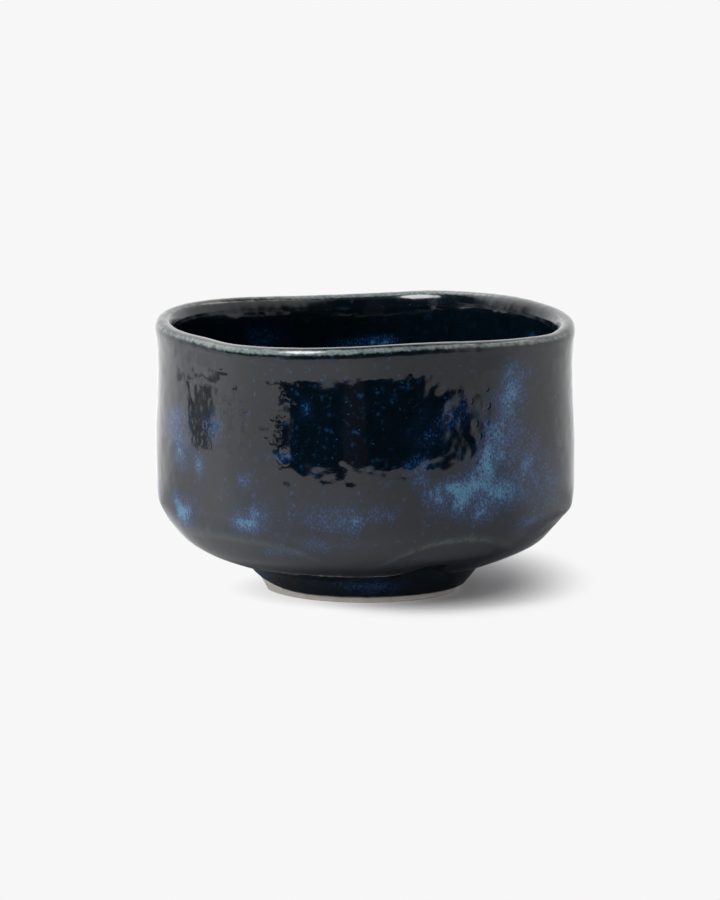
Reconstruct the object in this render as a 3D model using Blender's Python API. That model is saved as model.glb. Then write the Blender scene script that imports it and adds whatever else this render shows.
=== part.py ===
"""Tea bowl for whisked tea: a squared stoneware bowl in a dark coat of glaze, standing on a turned foot ring.

The frame has its origin under the middle of the foot, +Z up, and X and Y square to the bowl's flattened sides.
Every wall is a turned profile whose stations move a little with the angle round the bowl, as in hand-shaped ware.
The stations describe the glazed surface. The clay lies under it, deeper by the glaze and the clearance.
"""

import math

import bmesh
import bpy
import numpy as np

# Coats of glaze
GLAZE_THICKNESS = 0.0006
CLEARANCE = 0.0003

# Foot ring
FOOT_HEIGHT = 0.0075
FOOT_BOTTOM_RADIUS = 0.0259
FOOT_FLARE = 0.0061
FOOT_RING_WIDTH = 0.0056
FOOT_EDGE = 0.0006
FOOT_SEAT_HEIGHT = 0.0064
WELL_DRAFT = 0.0012
FOOT_SWELL = 0.0017
FOOT_SWELL_ANGLE = 150.0
FOOT_SWELL_SPREAD = 27.0
BARE_EDGE = 0.0014
BARE_EDGE_RISE = 0.0044
BARE_EDGE_ANGLE = 150.0
BARE_EDGE_SPREAD = 26.0

# Where the underside meets the foot: lower at the front, with one deep stroke of the turning tool
TRIM_DROP = 0.0006
TRIM_ANGLE = 235.0
TRIM_SPREAD = 45.0
STROKE_RISE = 0.0034
STROKE_ANGLE = 266.0
STROKE_SPREAD = 11.0
STROKE_UNDERSIDE_SHARE = 0.4

# Outside of the bowl, each step counted up and out from the one below it
UNDERSIDE_RISE = 0.0040
UNDERSIDE_REACH = 0.01235
BEVEL_FOOT_RISE = 0.0035
BEVEL_FOOT_REACH = 0.00605
BEVEL_RISE = 0.0064
BEVEL_REACH = 0.0045
HEEL_RISE = 0.0044
HEEL_REACH = 0.00176
BELLY_RISE = 0.0172
BELLY_REACH = 0.00067
WAIST_RISE = 0.0170
WAIST_REACH = -0.00058
NECK_BELOW_LIP = 0.0064
NECK_REACH = 0.00006
LIP_REACH = 0.00054

# The shaving of the lower wall took more off one side than the other
SHAVE_LEAN = 0.0006
SHAVE_LEAN_ANGLE = 148.0

# Squared plan: none at the underside, all of it from the heel up
SQUARENESS = 0.056

# Lip
LIP_HEIGHT = 0.0749
LIP_ROUND = 0.0023
LIP_RISE = 0.0029
LIP_FULLNESS = 2.4
LIP_BAND = 0.0013
LIP_LEAN = 0.0013
LIP_LEAN_ANGLE = 18.0
LIP_WAVE = 0.0013
LIP_WAVE_COUNT = 3
LIP_WAVE_ANGLE = -3.0
LIP_WAVE_AT_NECK = 0.75
LIP_WAVE_AT_WAIST = 0.35
LIP_DIPS = ((228.0, 24.0, 0.0006), (176.0, 12.0, -0.0005), (307.0, 10.0, 0.0005), (38.0, 14.0, -0.0004))

# Ridge left by the shaving of the lower wall
RIDGE_RISE = 0.0004
RIDGE_HALF_WIDTH = 0.0014
RIDGE_BELOW_HEEL = 0.0043
RIDGE_FADE = 0.94
RIDGE_DIPS = ((236.0, 15.0, 0.0088), (296.0, 14.0, 0.0056), (160.0, 18.0, 0.0022), (55.0, 20.0, 0.0040))

# Inside of the bowl, which opens a little towards the lip
LIP_INSIDE_LEAN = 0.22
LIP_INSIDE_DROP = 0.0040
LIP_INSIDE_DRAW = 0.0004
WAIST_WALL = 0.0050
BELLY_WALL = 0.0060
HEEL_WALL = 0.0084
FLOOR_THICKNESS = 0.0062
FLOOR_RADIUS = 0.0290
FLOOR_RIM_RISE = 0.0016
BEND_RISE = 0.0048
BEND_REACH = 0.0135
POOL_RADIUS = 0.0150
POOL_DEPTH = 0.0007

# Fineness of the solids
SEGMENTS = 48
CURVE_STEPS = 24
LIP_STEPS = 32
FOOT_GLAZE_ROWS = 4
UNDERSIDE_ROWS = 5
WALL_ROWS = 7
LIP_ROWS = 7
INSIDE_ROWS = 12
CONE_ROWS = 3
SHARP_ANGLE = 38.0
NEAR_AXIS = 0.0005

CLAY_DEPTH = GLAZE_THICKNESS + CLEARANCE
AROUND = np.arange(SEGMENTS) * (2.0 * math.pi / SEGMENTS)

MATERIALS = {
    "clay_body": ((0.42, 0.38, 0.33), 0.85),
    "foot_ring": ((0.52, 0.485, 0.44), 0.88),
    "outer_glaze": ((0.008, 0.016, 0.024), 0.16),
    "inner_glaze": ((0.007, 0.014, 0.020), 0.16),
    "lip_glaze": ((0.16, 0.19, 0.19), 0.22),
    "foot_glaze": ((0.010, 0.020, 0.028), 0.20),
    "foot_well_glaze": ((0.010, 0.018, 0.024), 0.22),
}


def bell(angle, spread):
    """A smooth hump of height 1 at an angle round the bowl, in degrees, that falls off over the spread."""
    apart = np.degrees(AROUND) - angle
    apart = (apart + 180.0) % 360.0 - 180.0
    return np.exp(-((apart / spread) ** 2))


def through(stations, steps):
    """A smooth curve through the stations of every angle: arrays of radius and height, angle by station."""
    radius, height = stations
    count = radius.shape[1]
    points = np.stack([radius, height], axis=-1)
    spans = np.linalg.norm(np.diff(points, axis=1), axis=-1)
    along = np.concatenate([np.zeros((len(points), 1)), np.cumsum(spans, axis=1)], axis=1)[..., None]
    slopes = (points[:, 2:] - points[:, :-2]) / (along[:, 2:] - along[:, :-2])
    chords = np.diff(points, axis=1) / spans[..., None]
    slopes = np.concatenate([chords[:, :1], slopes, chords[:, -1:]], axis=1)
    pieces = []
    for k in range(count - 1):
        t = np.linspace(0.0, 1.0, steps + 1)[:-1][None, :, None]
        if k == count - 2:
            t = np.linspace(0.0, 1.0, steps + 1)[None, :, None]
        span = spans[:, k][:, None, None]
        start = points[:, k][:, None, :]
        end = points[:, k + 1][:, None, :]
        leave = slopes[:, k][:, None, :] * span
        arrive = slopes[:, k + 1][:, None, :] * span
        rest = 1.0 - t
        pieces.append(
            start * (1.0 + 2.0 * t) * rest**2
            + leave * t * rest**2
            + end * t**2 * (3.0 - 2.0 * t)
            - arrive * t**2 * rest
        )
    return np.concatenate(pieces, axis=1)


def lengths(curve):
    """The distance run along each angle's curve, from its first point."""
    steps = np.linalg.norm(np.diff(curve, axis=1), axis=-1)
    return np.concatenate([np.zeros((len(curve), 1)), np.cumsum(steps, axis=1)], axis=1)


def out_of_clay(curve):
    """Unit normals in the radial plane that point out of the clay, for a curve that runs from foot to floor."""
    run = np.gradient(curve, axis=1)
    normal = np.stack([run[..., 1], -run[..., 0]], axis=-1)
    return normal / np.linalg.norm(normal, axis=-1, keepdims=True)


def height_of_lip():
    lean = LIP_LEAN * np.cos(AROUND - math.radians(LIP_LEAN_ANGLE))
    wave = LIP_WAVE * np.cos(LIP_WAVE_COUNT * (AROUND - math.radians(LIP_WAVE_ANGLE)))
    dips = sum(drop * bell(angle, spread) for angle, spread, drop in LIP_DIPS)
    return lean + wave - dips


def cone_radius(height):
    """The bare clay of the foot's outer side at a height above the table: a cone that stands out more on one side."""
    swell = FOOT_SWELL * bell(FOOT_SWELL_ANGLE, FOOT_SWELL_SPREAD) * np.maximum(1.0 - height / FOOT_HEIGHT, 0.0)
    return FOOT_BOTTOM_RADIUS + FOOT_FLARE * height / FOOT_HEIGHT + swell


def squared(radius, height, base, top):
    """A mean radius drawn out to a rounded square, by a share that grows from the base to the top."""
    rise = np.clip((height - base) / (top - base), 0.0, 1.0)
    return radius * (1.0 - SQUARENESS * rise * np.cos(4.0 * AROUND))


class Skin:
    """The glazed surface of every angle, from the bottom of the foot's cone to the middle of the floor."""

    def __init__(self):
        level = np.ones(SEGMENTS)
        trim = -TRIM_DROP * bell(TRIM_ANGLE, TRIM_SPREAD)
        stroke = STROKE_RISE * bell(STROKE_ANGLE, STROKE_SPREAD)
        lip_wave = height_of_lip()
        draft = math.hypot(FOOT_FLARE, FOOT_HEIGHT) / FOOT_HEIGHT

        meet_height = FOOT_HEIGHT * level + trim + stroke
        meet_radius = cone_radius(meet_height) + CLAY_DEPTH * draft
        under_height = (FOOT_HEIGHT + UNDERSIDE_RISE) * level + (trim + stroke) * STROKE_UNDERSIDE_SHARE
        under_radius = FOOT_BOTTOM_RADIUS + FOOT_FLARE + UNDERSIDE_REACH
        under_level = FOOT_HEIGHT + UNDERSIDE_RISE
        bevel_foot_height = under_level + BEVEL_FOOT_RISE
        bevel_foot_radius = under_radius + BEVEL_FOOT_REACH
        bevel_height = bevel_foot_height + BEVEL_RISE
        bevel_radius = bevel_foot_radius + BEVEL_REACH
        heel_height = bevel_height + HEEL_RISE
        heel_radius = bevel_radius + HEEL_REACH
        belly_height = heel_height + BELLY_RISE
        belly_radius = heel_radius + BELLY_REACH
        waist_height = belly_height + WAIST_RISE
        waist_radius = belly_radius + WAIST_REACH
        neck_height = LIP_HEIGHT - NECK_BELOW_LIP
        neck_radius = waist_radius + NECK_REACH
        lip_radius = neck_radius + LIP_REACH
        shave = SHAVE_LEAN * np.cos(AROUND - math.radians(SHAVE_LEAN_ANGLE))

        def plan(radius, height):
            return squared(radius * level, height, under_level, heel_height)

        outer = (
            np.stack(
                [
                    meet_radius,
                    under_radius + shave,
                    plan(bevel_foot_radius, bevel_foot_height) + shave,
                    plan(bevel_radius, bevel_height) + shave,
                    plan(heel_radius, heel_height),
                    plan(belly_radius, belly_height),
                    plan(waist_radius, waist_height),
                    plan(neck_radius, neck_height),
                    plan(lip_radius, LIP_HEIGHT),
                ],
                axis=1,
            ),
            np.stack(
                [
                    meet_height,
                    under_height,
                    bevel_foot_height * level,
                    bevel_height * level,
                    heel_height * level,
                    belly_height * level,
                    waist_height + lip_wave * LIP_WAVE_AT_WAIST,
                    neck_height + lip_wave * LIP_WAVE_AT_NECK,
                    LIP_HEIGHT + lip_wave,
                ],
                axis=1,
            ),
        )
        floor_height = FOOT_SEAT_HEIGHT + FLOOR_THICKNESS
        lip_inside_radius = plan(lip_radius, LIP_HEIGHT) - 2.0 * LIP_ROUND - LIP_INSIDE_LEAN * LIP_RISE
        inner = (
            np.stack(
                [
                    lip_inside_radius,
                    lip_inside_radius - LIP_INSIDE_DRAW,
                    plan(waist_radius, waist_height) - WAIST_WALL,
                    plan(belly_radius, belly_height) - BELLY_WALL,
                    plan(heel_radius, heel_height) - HEEL_WALL,
                    (FLOOR_RADIUS + BEND_REACH) * level,
                    FLOOR_RADIUS * level,
                    POOL_RADIUS * level,
                    0.0 * level,
                ],
                axis=1,
            ),
            np.stack(
                [
                    LIP_HEIGHT + lip_wave,
                    LIP_HEIGHT - LIP_INSIDE_DROP + lip_wave,
                    waist_height + lip_wave * LIP_WAVE_AT_WAIST,
                    belly_height * level,
                    heel_height * level,
                    (floor_height + FLOOR_RIM_RISE + BEND_RISE) * level,
                    (floor_height + FLOOR_RIM_RISE) * level,
                    floor_height * level,
                    (floor_height - POOL_DEPTH) * level,
                ],
                axis=1,
            ),
        )
        foot = self.foot_side(meet_radius, meet_height, draft)
        wall = through(outer, CURVE_STEPS)
        lip = self.lip_turn(outer[0][:, -1], outer[1][:, -1])
        inside = through(inner, CURVE_STEPS)
        curve = np.concatenate([foot, wall, lip, inside], axis=1)
        run = lengths(curve)
        self.meet = run[:, foot.shape[1]]
        self.lip_outside = run[:, foot.shape[1] + wall.shape[1] - 1]
        self.lip_inside = run[:, foot.shape[1] + wall.shape[1] + lip.shape[1]]
        self.ridge = self.ridge_place(curve, run, heel_height - RIDGE_BELOW_HEEL)
        away = (run - self.ridge[:, None]) / RIDGE_HALF_WIDTH
        crest = RIDGE_RISE * (1.0 - RIDGE_FADE * sum(bell(angle, spread) for angle, spread, drop in RIDGE_DIPS))
        curve = curve + out_of_clay(curve) * (crest[:, None] * np.exp(-(away**2)))[..., None]
        self.curve = curve
        self.run = run
        self.normal = out_of_clay(curve)
        self.end = run[:, -1]
        self.glaze_line = self.place_of_height(BARE_EDGE + BARE_EDGE_RISE * bell(BARE_EDGE_ANGLE, BARE_EDGE_SPREAD))
        self.seat_line = self.place_of_height(FOOT_SEAT_HEIGHT * level)

    def foot_side(self, meet_radius, meet_height, draft):
        """The foot's coned side, without the end that it shares with the wall."""
        share = np.linspace(0.0, 1.0, CURVE_STEPS + 1)[:-1][None, :]
        start = cone_radius(0.0) + CLAY_DEPTH * draft
        radius = start[:, None] + (meet_radius - start)[:, None] * share
        return np.stack([radius, meet_height[:, None] * share], axis=-1)

    def lip_turn(self, radius, height):
        """The full half oval over the lip, without the two ends that it shares with the walls.

        Its inner half leans inwards as it goes down, so that it runs on into the inside wall.
        """
        angle = np.linspace(0.0, math.pi, LIP_STEPS + 1)[1:-1][None, :]
        across = LIP_ROUND * np.sign(np.cos(angle)) * np.abs(np.cos(angle)) ** (2.0 / LIP_FULLNESS)
        up = LIP_RISE * np.sin(angle) ** (2.0 / LIP_FULLNESS)
        lean = LIP_INSIDE_LEAN * np.where(angle > math.pi / 2.0, LIP_RISE - up, 0.0)
        return np.stack([radius[:, None] - LIP_ROUND + across - lean, height[:, None] + up], axis=-1)

    def ridge_place(self, curve, run, height):
        """How far along each angle's curve the ridge lies."""
        target = height * np.ones(SEGMENTS)
        for angle, spread, drop in RIDGE_DIPS:
            target = target - drop * bell(angle, spread)
        place = np.empty(SEGMENTS)
        for i in range(SEGMENTS):
            wall = (run[i] >= self.meet[i]) & (run[i] <= self.lip_outside[i])
            place[i] = np.interp(target[i], curve[i, wall, 1], run[i, wall])
        return place

    def place_of_height(self, height):
        """How far along each angle's curve the foot's side reaches a height."""
        place = np.empty(SEGMENTS)
        for i in range(SEGMENTS):
            side = self.run[i] <= self.meet[i]
            place[i] = np.interp(height[i], self.curve[i, side, 1], self.run[i, side])
        return place

    def rows(self, place, depth):
        """Points in space at places along the curve, angle by row, set into the clay by a depth."""
        found = []
        for i in range(SEGMENTS):
            at = [np.interp(place[i], self.run[i], self.curve[i, :, k]) for k in range(2)]
            out = [np.interp(place[i], self.run[i], self.normal[i, :, k]) for k in range(2)]
            size = np.hypot(out[0], out[1])
            radius = np.maximum(at[0] - depth * out[0] / size, 0.0)
            height = at[1] - depth * out[1] / size
            found.append(np.stack([radius * math.cos(AROUND[i]), radius * math.sin(AROUND[i]), height], axis=-1))
        return np.stack(found).transpose(1, 0, 2)


def spread_between(start, end, rows):
    """Places from one line to another, angle by row."""
    share = np.linspace(0.0, 1.0, rows + 1)[None, :]
    return start[:, None] + (end - start)[:, None] * share


def ring(radius, height):
    """A level ring of points."""
    radius = radius * np.ones(SEGMENTS)
    height = height * np.ones(SEGMENTS)
    return np.stack([radius * np.cos(AROUND), radius * np.sin(AROUND), height], axis=-1)


def piece(name, rings, around_again, order=None):
    """One solid from rings of points. A ring on the axis becomes a single point.

    The order numbers the rows along the skin, so that a face and its back are split along the same diagonals.
    """
    order = order or list(range(len(rings)))
    work = bmesh.new()
    loops = []
    for points in rings:
        if np.hypot(points[:, 0], points[:, 1]).max() < NEAR_AXIS:
            loops.append([work.verts.new(points.mean(axis=0))])
        else:
            loops.append([work.verts.new(point) for point in points])
    pairs = [(k, k + 1) for k in range(len(loops) - 1)]
    if around_again:
        pairs.append((len(loops) - 1, 0))
    for k, m in pairs:
        low, high = (loops[k], loops[m]) if order[k] <= order[m] else (loops[m], loops[k])
        for i in range(SEGMENTS):
            j = (i + 1) % SEGMENTS
            if len(low) > 1:
                work.faces.new([low[i], low[j], high[j % len(high)]])
            if len(high) > 1:
                work.faces.new([low[i % len(low)], high[j], high[i]])
    bmesh.ops.recalc_face_normals(work, faces=work.faces)
    mesh = bpy.data.meshes.new(name)
    work.to_mesh(mesh)
    work.free()
    mesh.shade_smooth()
    mesh.set_sharp_from_angle(angle=math.radians(SHARP_ANGLE))
    mesh.materials.append(surface(name))
    made = bpy.data.objects.new(name, mesh)
    bpy.context.scene.collection.objects.link(made)
    return made


def surface(name):
    colour, roughness = MATERIALS[name]
    material = bpy.data.materials.new(name)
    material.use_nodes = True
    shader = material.node_tree.nodes["Principled BSDF"]
    shader.inputs["Base Color"].default_value = (*colour, 1.0)
    shader.inputs["Roughness"].default_value = roughness
    shader.inputs["Metallic"].default_value = 0.0
    return material


def coat(name, skin, place):
    """A band of glaze: its glazed face, then its back face, joined round both edges."""
    face = list(skin.rows(place, 0.0))
    back = list(skin.rows(place, GLAZE_THICKNESS))
    order = list(range(len(face)))
    return piece(name, face + back[::-1], True, order + order[::-1])


def coat_places(skin):
    """The rows of every band of glaze along the skin. Neighbouring bands stay a clearance apart."""
    half = CLEARANCE / 2.0
    band_outside = skin.lip_outside - LIP_BAND
    band_inside = skin.lip_inside + LIP_BAND
    low = spread_between(skin.meet + half, skin.ridge, UNDERSIDE_ROWS)
    low[:, -2] = skin.ridge - 2.0 * RIDGE_HALF_WIDTH
    above = skin.ridge + 2.0 * RIDGE_HALF_WIDTH
    high = spread_between(above, band_outside - half, WALL_ROWS)
    return {
        "foot_glaze": spread_between(skin.glaze_line, skin.meet - half, FOOT_GLAZE_ROWS),
        "outer_glaze": np.concatenate([low, high], axis=1),
        "lip_glaze": spread_between(band_outside + half, band_inside - half, LIP_ROWS),
        "inner_glaze": spread_between(band_inside + half, skin.end, INSIDE_ROWS),
    }


def make_glaze(skin):
    places = coat_places(skin)
    for name in ("foot_glaze", "outer_glaze", "lip_glaze"):
        coat(name, skin, places[name])
    face = list(skin.rows(places["inner_glaze"], 0.0))
    back = list(skin.rows(places["inner_glaze"], GLAZE_THICKNESS))
    order = list(range(len(face)))
    piece("inner_glaze", face[::-1] + back, False, order[::-1] + order)


def make_clay(skin):
    """The clay under the coats, on the same rows, closed by the flat seat that the foot ring carries."""
    places = coat_places(skin)
    half = CLEARANCE / 2.0
    cone = spread_between(skin.seat_line, skin.meet - half, CONE_ROWS)
    wall = [places[name] for name in ("outer_glaze", "lip_glaze", "inner_glaze")]
    rings = list(skin.rows(np.concatenate([cone] + wall, axis=1), CLAY_DEPTH))
    rings[0] = ring(cone_radius(FOOT_SEAT_HEIGHT), FOOT_SEAT_HEIGHT)
    middle = ring(0.0, FOOT_SEAT_HEIGHT)
    piece("clay_body", [middle] + rings, False)


def well_radius(height):
    """The wall inside the foot ring, which draws in towards the floor."""
    bottom = FOOT_BOTTOM_RADIUS - FOOT_RING_WIDTH
    return bottom - WELL_DRAFT * height / FOOT_SEAT_HEIGHT


def make_foot():
    top = FOOT_SEAT_HEIGHT - CLEARANCE
    rings = [
        ring(well_radius(0.0) + FOOT_EDGE, 0.0),
        ring(cone_radius(0.0) - FOOT_EDGE, 0.0),
        ring(cone_radius(FOOT_EDGE), FOOT_EDGE),
        ring(cone_radius(top), top),
        ring(well_radius(top), top),
        ring(well_radius(FOOT_EDGE), FOOT_EDGE),
    ]
    piece("foot_ring", rings, True)
    ceiling = FOOT_SEAT_HEIGHT - CLEARANCE
    under = ceiling - GLAZE_THICKNESS
    line = BARE_EDGE
    rings = [
        ring(0.0, ceiling),
        ring(well_radius(ceiling) - CLEARANCE, ceiling),
        ring(well_radius(line) - CLEARANCE, line),
        ring(well_radius(line) - CLAY_DEPTH, line),
        ring(well_radius(under) - CLAY_DEPTH, under),
        ring(0.0, under),
    ]
    piece("foot_well_glaze", rings, False)


def main():
    for old in list(bpy.data.objects):
        bpy.data.objects.remove(old, do_unlink=True)
    skin = Skin()
    make_clay(skin)
    make_foot()
    make_glaze(skin)


main()
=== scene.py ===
"""Dressed matcha bowl: fine coats of glaze over the packed clay, on a pale table, seen as in the photo."""

import math

import bpy
import numpy as np
from mathutils import Matrix, Vector


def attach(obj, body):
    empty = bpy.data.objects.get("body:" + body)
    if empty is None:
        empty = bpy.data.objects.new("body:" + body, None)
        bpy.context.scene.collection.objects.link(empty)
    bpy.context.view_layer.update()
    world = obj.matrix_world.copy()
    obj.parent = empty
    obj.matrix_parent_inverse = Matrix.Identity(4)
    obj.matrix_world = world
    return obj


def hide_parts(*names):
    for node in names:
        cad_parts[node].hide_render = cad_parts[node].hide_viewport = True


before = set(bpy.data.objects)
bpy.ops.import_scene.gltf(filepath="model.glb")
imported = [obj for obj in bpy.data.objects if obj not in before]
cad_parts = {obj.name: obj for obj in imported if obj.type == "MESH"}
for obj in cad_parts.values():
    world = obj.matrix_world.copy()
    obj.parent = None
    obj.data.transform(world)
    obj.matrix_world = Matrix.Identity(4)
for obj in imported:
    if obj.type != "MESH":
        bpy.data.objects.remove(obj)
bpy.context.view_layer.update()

# The bowl's sizes in metres and degrees, the same as the solids are made from. Angles run from +X to +Y.
GLAZE = 0.0006
CLEARANCE = 0.0003
FOOT_HEIGHT, FOOT_RADIUS, FOOT_FLARE = 0.0075, 0.0259, 0.0061
FOOT_RING_WIDTH, FOOT_EDGE = 0.0056, 0.0006
SEAT_HEIGHT, WELL_DRAFT = 0.0064, 0.0012
FOOT_SWELL, FOOT_SWELL_ANGLE, FOOT_SWELL_SPREAD = 0.0017, 150.0, 27.0
BARE_EDGE, BARE_RISE, BARE_ANGLE, BARE_SPREAD = 0.0014, 0.0044, 150.0, 26.0
TRIM_DROP, TRIM_ANGLE, TRIM_SPREAD = 0.0006, 235.0, 45.0
STROKE_RISE, STROKE_ANGLE, STROKE_SPREAD, STROKE_SHARE = 0.0034, 266.0, 11.0, 0.4
UNDER_HEIGHT, UNDER_RADIUS = 0.0115, 0.04435
BEVEL_FOOT_HEIGHT, BEVEL_FOOT_RADIUS = 0.0150, 0.0504
BEVEL_HEIGHT, BEVEL_RADIUS = 0.0214, 0.0549
HEEL_HEIGHT, HEEL_RADIUS = 0.0258, 0.05666
BELLY_HEIGHT, BELLY_RADIUS = 0.0430, 0.05733
WAIST_HEIGHT, WAIST_RADIUS = 0.0600, 0.05675
NECK_HEIGHT, NECK_RADIUS = 0.0685, 0.05681
LIP_HEIGHT, LIP_RADIUS = 0.0749, 0.05735
SQUARENESS = 0.056
SHAVE_LEAN, SHAVE_LEAN_ANGLE = 0.0006, 148.0
LIP_ROUND, LIP_RISE, LIP_FULLNESS, LIP_BAND = 0.0023, 0.0029, 2.4, 0.0013
LIP_INSIDE_LEAN, LIP_INSIDE_DROP, LIP_INSIDE_DRAW = 0.22, 0.0040, 0.0004
LIP_DIPS = ((228.0, 24.0, 0.0006), (176.0, 12.0, -0.0005), (307.0, 10.0, 0.0005), (38.0, 14.0, -0.0004))
LIP_LEAN, LIP_LEAN_ANGLE = 0.0013, 18.0
LIP_WAVE, LIP_WAVE_ANGLE = 0.0013, -3.0
WAVE_AT_NECK, WAVE_AT_WAIST = 0.75, 0.35
RIDGE_RISE, RIDGE_HALF, RIDGE_HEIGHT, RIDGE_FADE = 0.0004, 0.0014, 0.0215, 0.94
RIDGE_DIPS = ((236.0, 15.0, 0.0088), (296.0, 14.0, 0.0056), (160.0, 18.0, 0.0022), (55.0, 20.0, 0.0040))
WAIST_WALL, BELLY_WALL, HEEL_WALL = 0.0050, 0.0060, 0.0084
FLOOR_HEIGHT, FLOOR_RADIUS, FLOOR_RIM = 0.0126, 0.0290, 0.0016
BEND_RISE, BEND_REACH = 0.0048, 0.0135
POOL_RADIUS, POOL_DEPTH = 0.0150, 0.0007

# What only the dressed bowl has: where the ridge is worn flat and where glaze covers it (angle and spread),
# the share that is covered there, how wide the ridge is pale, and the rounding in the well. The foot's coat
# tapers to its edge over a length and is thin there, and the wall's coat is pale along the line where the
# two meet: thin glaze, and partly a painted reflection of the table.
RIDGE_WORN, RIDGE_COVERED, RIDGE_COVER = (328.0, 16.0), (203.0, 24.0), 0.6
RIDGE_PALE_HALF = 0.8 * RIDGE_HALF
WELL_BEND = 0.0016
FOOT_TAPER, FOOT_THIN = 0.0007, 0.4
MEET_FADE, MEET_THIN_AND_REFLECTION = 0.0004, 0.7

# How fine the coats are: angles round the bowl, points to a stretch of the profile, rows of fronts and
# backs, and the angle in degrees from which an edge is sharp.
FINE_ANGLES, PLAIN_ANGLES = 720, 360
STRETCH_POINTS, LIP_POINTS = 60, 120
OUTER_ROWS, OUTER_BACK_ROWS = 126, 10
LIP_ROWS, LIP_BACK_ROWS = 36, 12
INNER_ROWS, INNER_BACK_ROWS = 112, 25
FOOT_ROWS, FOOT_BACK_ROWS = 26, 8
SHARP_FROM = 50.0

# Relief of the coats: root mean square height, number of waves, and their shortest and longest length.
DIMPLES = (0.000010, 70, 0.0045, 0.0085)
PITS = (0.000005, 70, 0.0024, 0.0044)
SWELLS = (0.000016, 30, 0.0090, 0.0170)
FLOOR_WAVES = (0.000010, 60, 0.0060, 0.0110)
OUTSIDE_SEED, INSIDE_SEED, FLOOR_SEED = 11, 31, 41
# The relief grows over this length from where the foot's coat and the wall's meet. On the floor it grows
# over a reach outside a still radius. Two stretches are smoother: angle, spread and the share that is taken
# away.
CALM_LENGTH = 0.0012
FLOOR_STILL, FLOOR_REACH = 0.0180, 0.0245
SMOOTHED = ((187.0, 12.0, 0.65), (284.0, 11.0, 0.70))

# Blue mottles: angle round the bowl and height, spreads in degrees and metres, and strength.
RIGHT_STREAK = (
    (287, 0.0676, 5.0, 0.0034, 0.45), (286, 0.0621, 4.6, 0.0042, 0.62), (284, 0.0564, 4.2, 0.0042, 0.66),
    (280, 0.0511, 3.5, 0.0035, 0.75), (279, 0.0456, 4.5, 0.0035, 0.85), (276, 0.0407, 5.0, 0.0035, 1.00),
    (274, 0.0362, 7.0, 0.0026, 1.00), (265, 0.0363, 5.5, 0.0023, 0.95), (260, 0.0346, 4.5, 0.0023, 0.90),
    (268, 0.0321, 6.5, 0.0029, 0.80), (276, 0.0288, 4.0, 0.0029, 0.65), (282, 0.0331, 5.5, 0.0035, 0.60),
    (254, 0.0396, 2.5, 0.0029, 0.45), (292, 0.0406, 7.0, 0.0064, 0.45), (298, 0.0343, 6.0, 0.0052, 0.35),
    (294, 0.0248, 5.5, 0.0017, 0.50), (288, 0.0482, 5.5, 0.0040, 0.35), (284, 0.0500, 8.0, 0.0120, 0.15),
    (291, 0.0400, 12.0, 0.0110, 0.14), (276, 0.0345, 12.0, 0.0070, 0.32), (299, 0.0330, 9.0, 0.0080, 0.16))
FRONT_SPOTS = (
    (164, 0.0508, 6.5, 0.0046, 0.60), (167, 0.0428, 6.0, 0.0048, 0.62), (186, 0.0519, 5.0, 0.0035, 0.50),
    (178, 0.0396, 3.0, 0.0035, 0.55), (168, 0.0243, 6.0, 0.0036, 1.00), (164, 0.0271, 4.5, 0.0029, 0.50),
    (202, 0.0259, 6.0, 0.0023, 0.80), (206, 0.0297, 4.0, 0.0020, 0.55), (216, 0.0464, 2.5, 0.0014, 0.50),
    (222, 0.0602, 1.5, 0.0026, 0.40), (236, 0.0287, 1.8, 0.0023, 0.55), (202, 0.0383, 2.5, 0.0020, 0.35),
    (254, 0.0439, 4.5, 0.0020, 0.45), (258, 0.0520, 6.5, 0.0040, 0.22), (266, 0.0578, 6.0, 0.0035, 0.30),
    (229, 0.0291, 5.5, 0.0035, 0.30), (244, 0.0304, 4.0, 0.0023, 0.35), (224, 0.0215, 3.5, 0.0017, 0.30),
    (212, 0.0183, 7.0, 0.0014, 0.30), (228, 0.0205, 14.0, 0.0030, 0.10), (218, 0.0290, 42.0, 0.0100, 0.09))
BACK_SPOTS = (
    (20, 0.0520, 7.0, 0.0090, 0.60), (34, 0.0340, 9.0, 0.0045, 0.85), (26, 0.0430, 6.0, 0.0050, 0.75),
    (75, 0.0600, 5.0, 0.0060, 0.55), (70, 0.0270, 8.0, 0.0025, 0.65), (96, 0.0300, 7.0, 0.0030, 0.65),
    (116, 0.0520, 5.0, 0.0090, 0.60), (122, 0.0380, 7.0, 0.0050, 0.70), (145, 0.0290, 6.0, 0.0030, 0.70),
    (45, 0.0400, 16.0, 0.0140, 0.22), (100, 0.0450, 18.0, 0.0120, 0.20), (130, 0.0320, 14.0, 0.0100, 0.26),
    (5, 0.0350, 12.0, 0.0120, 0.26), (346, 0.0500, 10.0, 0.0120, 0.24), (60, 0.0550, 8.0, 0.0080, 0.40),
    (86, 0.0300, 9.0, 0.0050, 0.50), (107, 0.0620, 6.0, 0.0060, 0.42), (14, 0.0270, 8.0, 0.0030, 0.60),
    (318, 0.0560, 5.0, 0.0070, 0.45), (340, 0.0310, 8.0, 0.0035, 0.70), (335, 0.0450, 6.0, 0.0060, 0.45))
INSIDE_SPOTS = (
    (53, 0.0636, 4.0, 0.0014, 1.00), (61, 0.0625, 7.0, 0.0020, 0.40), (95, 0.0660, 8.0, 0.0040, 0.20),
    (345, 0.0680, 4.0, 0.0030, 0.50), (110, 0.0450, 12.0, 0.0120, 0.40), (200, 0.0500, 10.0, 0.0100, 0.45),
    (290, 0.0400, 12.0, 0.0100, 0.50), (150, 0.0300, 16.0, 0.0060, 0.40), (330, 0.0280, 14.0, 0.0060, 0.45),
    (250, 0.0600, 9.0, 0.0080, 0.40))
FOOT_SPOTS = (
    (243, 0.0052, 9.0, 0.0016, 0.60), (240, 0.0058, 24.0, 0.0014, 0.22), (168, 0.0062, 9.0, 0.0016, 0.60))
WELL_BLUE = 0.12
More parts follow.
